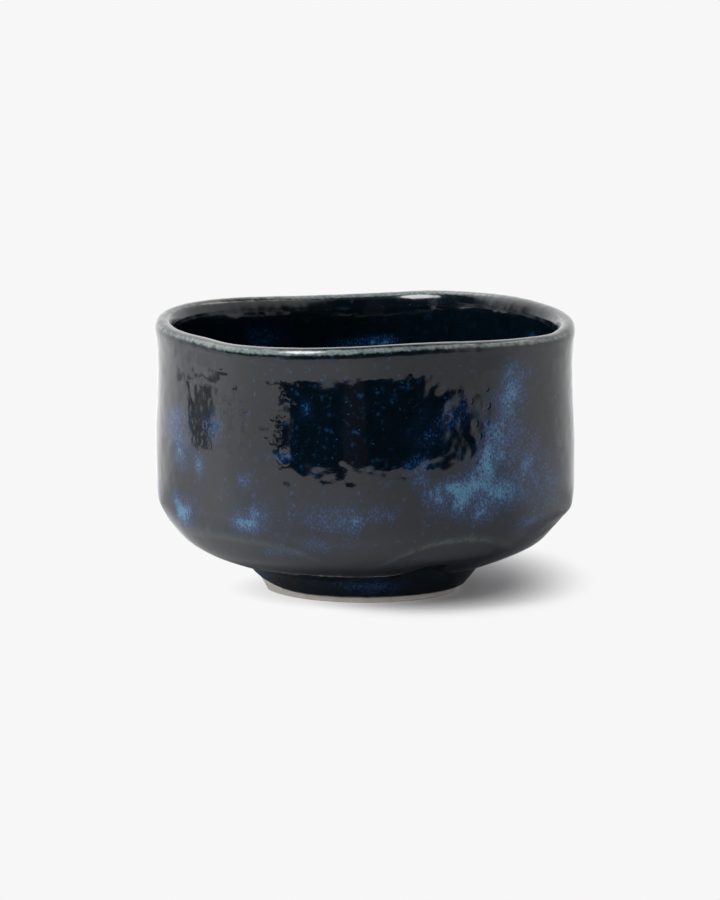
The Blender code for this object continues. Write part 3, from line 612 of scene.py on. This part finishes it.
class Nodes:
    """Short words for laying out the nodes of a material or of the surroundings."""

    def __init__(self, tree):
        self.tree = tree

    def add(self, kind, **settings):
        """A new node with its settings."""
        node = self.tree.nodes.new(kind)
        for key, value in settings.items():
            setattr(node, key, value)
        return node

    def fill(self, socket, value):
        """Links an output to a socket, or sets the socket to a plain number or colour."""
        if hasattr(value, "is_linked"):
            self.tree.links.new(value, socket)
        elif socket.type == "RGBA":
            socket.default_value = (*value, 1.0)
        else:
            socket.default_value = value

    def put(self, node, **values):
        """Fills a node's sockets by name, with _ for a space."""
        for key, value in values.items():
            self.fill(node.inputs[key.replace("_", " ")], value)
        return node

    def place(self):
        """Where the point is, in its object's frame, which is the bowl's."""
        return self.add("ShaderNodeTexCoord").outputs["Object"]

    def scaled(self, vector, scale):
        """A place with each of its axes scaled."""
        return self.put(self.add("ShaderNodeMapping"), Vector=vector, Scale=scale).outputs["Vector"]

    def attribute(self, name):
        """The number that is kept at the piece's points, or 0 where the piece has none."""
        return self.add("ShaderNodeAttribute", attribute_name=name).outputs["Fac"]

    def noise(self, vector, scale, detail, roughness=0.5):
        """Soft noise round 0.5, with so many features to each unit of the vector."""
        node = self.add("ShaderNodeTexNoise")
        return self.put(node, Vector=vector, Scale=scale, Detail=detail, Roughness=roughness).outputs["Fac"]

    def scattered(self, vector, scale):
        """The distance to the nearest of scattered points, in cells."""
        return self.put(self.add("ShaderNodeTexVoronoi"), Vector=vector, Scale=scale).outputs["Distance"]

    def spread(self, value, low, high, to_low=0.0, to_high=1.0):
        """A smooth step from low to high."""
        node = self.add("ShaderNodeMapRange", interpolation_type="SMOOTHSTEP")
        self.put(node, Value=value, From_Min=low, From_Max=high, To_Min=to_low, To_Max=to_high)
        return node.outputs["Result"]

    def maths(self, operation, first, second=0.0, clamp=False):
        """One operation on two numbers, held from 0 to 1 if it is clamped."""
        node = self.add("ShaderNodeMath", operation=operation, use_clamp=clamp)
        self.fill(node.inputs[0], first)
        self.fill(node.inputs[1], second)
        return node.outputs[0]

    def times(self, first, *others):
        """The product of numbers."""
        for other in others:
            first = self.maths("MULTIPLY", first, other)
        return first

    def blend(self, share, first, second):
        """A colour between two, by a share of the second."""
        node = self.add("ShaderNodeMix", data_type="RGBA")
        for socket, value in zip((node.inputs[0], node.inputs[6], node.inputs[7]), (share, first, second)):
            self.fill(socket, value)
        return node.outputs[2]

    def dot(self, first, second):
        """The product of a vector and a fixed direction."""
        node = self.add("ShaderNodeVectorMath", operation="DOT_PRODUCT")
        self.fill(node.inputs[0], first)
        self.fill(node.inputs[1], tuple(second))
        return node.outputs["Value"]

    def length(self, vector):
        """How long a vector is."""
        node = self.add("ShaderNodeVectorMath", operation="LENGTH")
        self.fill(node.inputs[0], vector)
        return node.outputs["Value"]

    def bearing(self, way, ahead, aside):
        """The bearing of a direction in degrees, from straight ahead."""
        turn = self.maths("ARCTAN2", self.dot(way, aside), self.dot(way, ahead))
        return self.maths("MULTIPLY", turn, 180.0 / math.pi)

    def by_bearing(self, bearing, levels):
        """A level that runs straight from each listed bearing to the next."""
        ramp = self.add("ShaderNodeValToRGB")
        self.put(ramp, Fac=self.maths("ADD", self.maths("DIVIDE", bearing, 360.0), 0.5))
        steps = ramp.color_ramp.elements
        for count, (degrees, level) in enumerate(levels):
            step = steps[count] if count < 2 else steps.new(1.0)
            step.position, step.color = degrees / 360.0 + 0.5, (level, level, level, 1.0)
        return ramp.outputs["Color"]

    def bump(self, height, distance, under=None):
        """Normals of a height times a distance in metres, over other normals if there are some."""
        node = self.put(self.add("ShaderNodeBump"), Height=height, Distance=distance, Strength=1.0)
        if under is not None:
            self.fill(node.inputs["Normal"], under)
        return node.outputs["Normal"]

    def glow(self, strength, colour=(1.0, 1.0, 1.0)):
        """A surface that shines by itself."""
        return self.put(self.add("ShaderNodeEmission"), Color=colour, Strength=strength).outputs[0]

    def mixed(self, share, first, second):
        """A surface between two, by a share of the second."""
        node = self.add("ShaderNodeMixShader")
        for socket, value in zip(node.inputs, (share, first, second)):
            self.fill(socket, value)
        return node.outputs[0]


def new_material(name):
    """A new material, its nodes and its shader."""
    material = bpy.data.materials.new(name)
    material.use_nodes = True
    return material, Nodes(material.node_tree), material.node_tree.nodes["Principled BSDF"]


def glaze_material(name, base, roughness, specks=1.0):
    """Glossy blue-black glaze. Fine blue grains come up where the blue share is high, soft deep blue spots
    and single flecks lie all over, and thin glaze breaks to a pale green-grey with rust spots. Along the
    wall's meeting line that pale is partly a painted reflection of the table."""
    material, w, shader = new_material(name)
    here = w.place()
    drawn = w.scaled(here, DRAWN_UP)
    cloud = w.noise(drawn, CLOUDS, 3.0, 0.55)
    spots = w.spread(w.noise(here, SPOTS, 2.0), 0.57, 0.75)
    deep = w.times(spots, w.spread(cloud, 0.35, 0.62, 0.15, specks))
    colour = w.blend(deep, base, DEEP_BLUE)
    colour = w.blend(w.spread(w.noise(here, FLECKS, 1.0), 0.745, 0.80, 0.0, specks), colour, FLECK_BLUE)

    patchy = w.times(w.attribute("blue"), w.spread(cloud, 0.25, 0.70, 0.5, 1.25))
    colour = w.blend(w.maths("MULTIPLY", patchy, 0.90, True), colour, HAZE_BLUE)
    need = w.maths("SUBTRACT", 0.70, w.times(patchy, 0.30))
    grains = w.spread(w.maths("SUBTRACT", w.noise(drawn, GRAINS, 2.0, 0.55), need), -0.15, 0.15)
    grain_blue = w.blend(w.spread(patchy, 0.35, 1.05), GRAIN_BLUE, GRAIN_PALE)
    colour = w.blend(w.maths("MULTIPLY", grains, w.spread(patchy, 0.06, 0.24), True), colour, grain_blue)

    broken = w.noise(here, BREAKS, 3.0, 0.6)
    crest = w.times(w.attribute("crest"), w.spread(broken, 0.30, 0.65, 0.06, 0.30))
    colour = w.blend(crest, colour, RIDGE_PALE)
    pale = w.blend(w.spread(w.noise(here, THIN_CLOUDS, 3.0), 0.30, 0.72), THIN_GREY, THIN_PALE)
    pale = w.blend(w.times(w.spread(w.noise(here, RUST_SPOTS, 1.0), 0.70, 0.76), 0.8), pale, THIN_RUST)
    ragged = w.times(w.maths("SUBTRACT", broken, 0.5), 1.1)
    # The thin share paints the pale: thin glaze, and along the wall's meeting line partly a painted
    # reflection.
    colour = w.blend(w.spread(w.maths("ADD", w.attribute("thin"), ragged), 0.30, 0.95), colour, pale)

    w.put(shader, Base_Color=colour, IOR=GLAZE_IOR, Metallic=0.0)
    w.put(shader, Roughness=w.spread(cloud, 0.2, 0.8, roughness * 0.6, roughness * 1.4))
    pits = w.times(w.spread(w.scattered(here, ROUND_PITS), 0.26, 0.40), w.attribute("pitted"))
    w.put(shader, Normal=w.bump(w.noise(here, SKIN_WAVES, 2.0), SKIN_DEPTH, w.bump(pits, PIT_DEPTH)))
    return material


def clay_material(name, pale, shade):
    """Bare fired stoneware: fine sand grain, faint clouds and small iron spots."""
    material, w, shader = new_material(name)
    here = w.place()
    sand = w.noise(here, SAND, 3.0, 0.65)
    cloud = w.noise(here, CLAY_CLOUDS, 3.0)
    colour = w.blend(w.spread(cloud, 0.3, 0.7), shade, pale)
    colour = w.blend(w.spread(sand, 0.62, 0.8, 0.0, 0.45), colour, tuple(0.55 * c for c in pale))
    colour = w.blend(w.spread(w.noise(here, IRON_SPOTS, 1.0), 0.72, 0.78, 0.0, 0.7), colour, IRON_BROWN)
    w.put(shader, Base_Color=colour, Roughness=w.spread(cloud, 0.2, 0.8, 0.72, 0.9), Metallic=0.0)
    w.put(shader, Normal=w.bump(sand, SAND_DEPTH))
    return material


def table_material(view_right, view_back):
    """White table. The camera sees it evenly pale, with a painted contact shadow beside the foot, but for
    the bowl's shadow. Mirror-like rays see the round part near the bowl, at levels that go by bearing, with
    a painted shade beside the foot, dimmer close behind the bowl and glowing where the level is over 1, and
    nothing of the rest. From below it is clear."""
    material, w, lit = new_material("white_table")
    w.put(lit, Base_Color=TABLE_WHITE, Roughness=0.9, Specular_IOR_Level=0.0)
    lit = lit.outputs[0]
    clear = w.add("ShaderNodeBsdfTransparent").outputs[0]
    ray = w.add("ShaderNodeLightPath").outputs
    here = w.place()
    radius = w.length(here)

    across = w.maths("SUBTRACT", w.dot(here, view_right), SHADOW_SIDE)
    deep = w.times(w.maths("ADD", w.dot(here, view_back), SHADOW_BEHIND), SHADOW_FLATNESS)
    away = w.maths("SQRT", w.maths("ADD", w.maths("POWER", across, 2.0), w.maths("POWER", deep, 2.0)))
    # Painted shade: the even pale emission is darker beside the foot, as a contact shadow.
    even = w.glow(w.spread(radius, FOOT_RADIUS, CONTACT_END, CONTACT_SHADE, 1.0), BACKDROP)
    cleared = w.maths("POWER", w.spread(away, SHADOW_NEAR, SHADOW_FAR), SHADOW_FALL)
    cleared = w.maths("MAXIMUM", cleared, SHADOW_LIFT)
    seen = w.mixed(w.times(ray["Is Camera Ray"], cleared), lit, even)

    level = w.by_bearing(w.bearing(here, view_back, view_right), MIRRORED_LEVELS)
    # Painted shade: the table that the glaze mirrors is darker beside the foot.
    level = w.times(level, w.spread(radius, FOOT_RADIUS, FOOT_SHADE_END, FOOT_SHADE, 1.0))
    behind = w.spread(w.dot(here, -view_back), *BEHIND_FROM)
    close = w.times(behind, w.spread(radius, *BEHIND_CLOSE, BEHIND_DIM, 0.0))
    level = w.times(level, w.maths("SUBTRACT", 1.0, close))
    # Where the level is over 1 the mirrored table glows: a painted glow that brightens its reflection.
    bright = w.add("ShaderNodeAddShader")
    w.fill(bright.inputs[0], lit)
    w.fill(bright.inputs[1], w.glow(w.maths("SUBTRACT", level, 1.0, True)))
    mirrored = w.mixed(w.maths("MINIMUM", level, 1.0), w.glow(0.0), bright.outputs[0])
    beyond = w.spread(radius, MIRRORED_TABLE - MIRRORED_EDGE, MIRRORED_TABLE + MIRRORED_EDGE)
    mirrored = w.mixed(beyond, mirrored, clear)

    top = w.mixed(ray["Is Glossy Ray"], seen, mirrored)
    top = w.mixed(w.add("ShaderNodeNewGeometry").outputs["Backfacing"], top, clear)
    w.fill(w.tree.nodes["Material Output"].inputs["Surface"], top)
    return material


def make_table(view_right, view_back):
    """A wide level table top, a rectangle square to the view, which reaches further behind the bowl."""
    front, far, side = view_back * TABLE_FRONT, view_back * -TABLE_FAR, view_right * TABLE_SIDE
    corners = [front - side, front + side, far + side, far - side]
    mesh = bpy.data.meshes.new("white_table")
    mesh.from_pydata([(c.x, c.y, 0.0) for c in corners], [], [(0, 1, 2, 3)])
    mesh.materials.append(table_material(view_right, view_back))
    table = bpy.data.objects.new("white_table", mesh)
    bpy.context.scene.collection.objects.link(table)


def mirrored_room(w, bearing, up):
    """What the glaze mirrors: a dark opening with a post towards the camera, between white boards. Its left
    edge is torn by noise, and it is narrower lower down at the right. Beside the left board are a dark strip
    and flecks, over it is dark, above is a dim ceiling, and a cream lamp hangs high at the right."""

    def span(first, last, soft):
        """1 between two bearings and 0 elsewhere, with soft ends."""
        past_first = w.spread(bearing, first - soft, first + soft)
        return w.times(past_first, w.spread(bearing, last + soft, last - soft))

    def noise_at(across, upwards, detail):
        """Noise on the flat map of bearing and height."""
        spot = w.put(w.add("ShaderNodeCombineXYZ"), X=across, Y=upwards)
        return w.noise(spot.outputs[0], 1.0, detail)

    low = w.spread(up, *CEILING_FROM)
    torn = noise_at(w.maths("DIVIDE", bearing, RAGGED_WIDE), w.maths("DIVIDE", up, RAGGED_TALL), 2.0)
    torn = w.times(w.maths("SUBTRACT", torn, 0.5), RAGGED_DEPTH)
    left_edge = w.spread(w.maths("ADD", bearing, torn), OPENING_LEFT - LEFT_SOFT, OPENING_LEFT + LEFT_SOFT)
    slanted = w.maths("ADD", bearing, w.spread(up, NARROW_FROM, NARROW_TO, 0.0, OPENING_NARROW))
    right_edge = w.spread(slanted, OPENING_RIGHT + RIGHT_SOFT, OPENING_RIGHT - RIGHT_SOFT)
    opening = w.times(left_edge, right_edge, low)

    strip = w.times(span(STRIP_LEFT, STRIP_RIGHT, STRIP_SOFT), w.spread(up, *STRIP_FOOT))
    below = w.maths("DIVIDE", w.maths("MINIMUM", up, FLECK_TURN), FLECK_TALL)
    above = w.maths("DIVIDE", w.maths("MAXIMUM", w.maths("SUBTRACT", up, FLECK_TURN), 0.0), FLECK_FLAT)
    flecks = noise_at(w.maths("DIVIDE", bearing, FLECK_WIDE), w.maths("ADD", below, above), 1.0)
    flecks = w.times(w.spread(flecks, FLECK_FROM, FLECK_TO), span(FLECKS_LEFT, FLECKS_RIGHT, FLECKS_SOFT))
    strip = w.times(w.maths("MAXIMUM", strip, flecks), low, STRIP_SHARE)

    over_board = w.times(span(BOARD_LEFT, OPENING_LEFT, BOARD_SOFT), w.spread(up, *BOARD_TOP))
    boards = w.blend(over_board, w.by_bearing(bearing, MIRRORED_LEVELS), BOARD_DARK)
    boards = w.blend(low, CEILING, boards)
    dark = w.blend(span(POST_LEFT, POST_RIGHT, POST_SOFT), ROOM_DARK, POST_DARK)
    seen = w.blend(w.maths("MAXIMUM", opening, strip), boards, dark)
    lamp = w.times(span(LAMP_LEFT, LAMP_RIGHT, LAMP_SOFT), w.spread(up, *LAMP_FOOT), w.spread(up, *LAMP_TOP))
    return w.blend(lamp, seen, LAMP_CREAM)


def make_room(view_right, view_back):
    """The surroundings: an even white that lights the bowl, the room that its glaze mirrors, and the pale
    backdrop that the camera sees."""
    world = bpy.data.worlds.new("studio")
    bpy.context.scene.world = world
    world.use_nodes = True
    world.node_tree.nodes.clear()
    w = Nodes(world.node_tree)
    ray = w.add("ShaderNodeLightPath").outputs
    way = w.add("ShaderNodeTexCoord").outputs["Generated"]
    seen = mirrored_room(w, w.bearing(way, view_back, view_right), w.dot(way, (0.0, 0.0, 1.0)))
    light = w.blend(w.maths("MAXIMUM", ray["Is Glossy Ray"], ray["Is Transmission Ray"]), AMBIENT, seen)
    light = w.blend(ray["Is Camera Ray"], light, BACKDROP)
    back = w.put(w.add("ShaderNodeBackground"), Color=light)
    w.put(w.add("ShaderNodeOutputWorld"), Surface=back.outputs[0])


def make_lamp(name, energy, width, towards, mirrored):
    """A far, wide lamp that shines from a direction, seen in the glaze or not."""
    lamp = bpy.data.lights.new(name, "SUN")
    lamp.energy, lamp.angle = energy, math.radians(width)
    made = bpy.data.objects.new(name, lamp)
    made.visible_glossy = mirrored
    made.rotation_mode = "QUATERNION"
    made.rotation_quaternion = towards.to_track_quat("Z", "Y")
    bpy.context.scene.collection.objects.link(made)


def make_lights(view_right, view_back):
    """A soft key from the left and front, which throws the shadow to the back and right, and a weak low fill
    from the camera's side, which reaches under the bowl to the foot."""
    up = Vector((0.0, 0.0, 1.0))
    key = view_back * KEY_FRONT - view_right * KEY_LEFT + up
    fill = view_back * FILL_FRONT - view_right * FILL_LEFT + up * FILL_RISE
    make_lamp("soft_key", KEY_LIGHT, KEY_WIDTH, key, True)
    make_lamp("low_fill", FILL_LIGHT, FILL_WIDTH, fill, False)


def make_camera():
    """Looks along the photograph's angle. The whole camera is moved aside, so that the bowl is at its place
    in the image. Gives the level directions to the view's right and back to the camera."""
    a, e = math.radians(VIEW_AZIMUTH), math.radians(VIEW_ELEVATION)
    back = Vector((math.sin(a) * math.cos(e), -math.cos(a) * math.cos(e), math.sin(e)))
    right = Vector((math.cos(a), math.sin(a), 0.0))
    up = back.cross(right)
    pixel = 0.001 / PIXELS_PER_MM
    aim = Vector((0.0, 0.0, BOWL_MIDDLE))
    aim += up * (BOWL_AT_Y - IMAGE_HEIGHT / 2) * pixel - right * (BOWL_AT_X - IMAGE_WIDTH / 2) * pixel
    lens = bpy.data.cameras.new("photo_view")
    lens.sensor_width = SENSOR_WIDTH
    lens.lens = SENSOR_WIDTH * VIEW_DISTANCE / (IMAGE_HEIGHT * pixel)
    lens.clip_start, lens.clip_end = 0.05, 60.0
    camera = bpy.data.objects.new("photo_view", lens)
    turned_to_bowl = Matrix((right, up, back)).transposed().to_4x4()
    camera.matrix_world = Matrix.Translation(aim + back * VIEW_DISTANCE) @ turned_to_bowl
    bpy.context.scene.collection.objects.link(camera)
    bpy.context.scene.camera = camera
    return right, Vector((math.sin(a), -math.cos(a), 0.0))


def make_bowl():
    """The six skins in the place of their solids, and the clay body as packed, with its finish."""
    fine, plain = Skin(FINE_ANGLES), Skin(PLAIN_ANGLES)
    make_outer_glaze(fine, glaze_material("outer_glaze", OUTER_BLACK, OUTER_ROUGHNESS))
    make_lip_glaze(fine, glaze_material("lip_glaze", LIP_BLACK, LIP_ROUGHNESS))
    make_inner_glaze(fine, glaze_material("inner_glaze", INNER_BLACK, INNER_ROUGHNESS, INNER_SPECKS))
    make_foot_glaze(fine, glaze_material("foot_glaze", FOOT_BLACK, FOOT_ROUGHNESS))
    make_foot_well_glaze(plain, glaze_material("foot_well_glaze", FOOT_BLACK, WELL_ROUGHNESS))
    make_foot_ring(plain, clay_material("bare_stoneware", BARE_PALE, BARE_SHADE))
    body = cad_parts["clay_body"]
    body.material_slots[0].material = clay_material("stoneware", CLAY_PALE, CLAY_SHADE)


def main():
    """The studio first, and then the bowl."""
    bpy.context.scene.view_settings.view_transform = "Standard"
    view_right, view_back = make_camera()
    make_table(view_right, view_back)
    make_room(view_right, view_back)
    make_lights(view_right, view_back)
    make_bowl()


main()
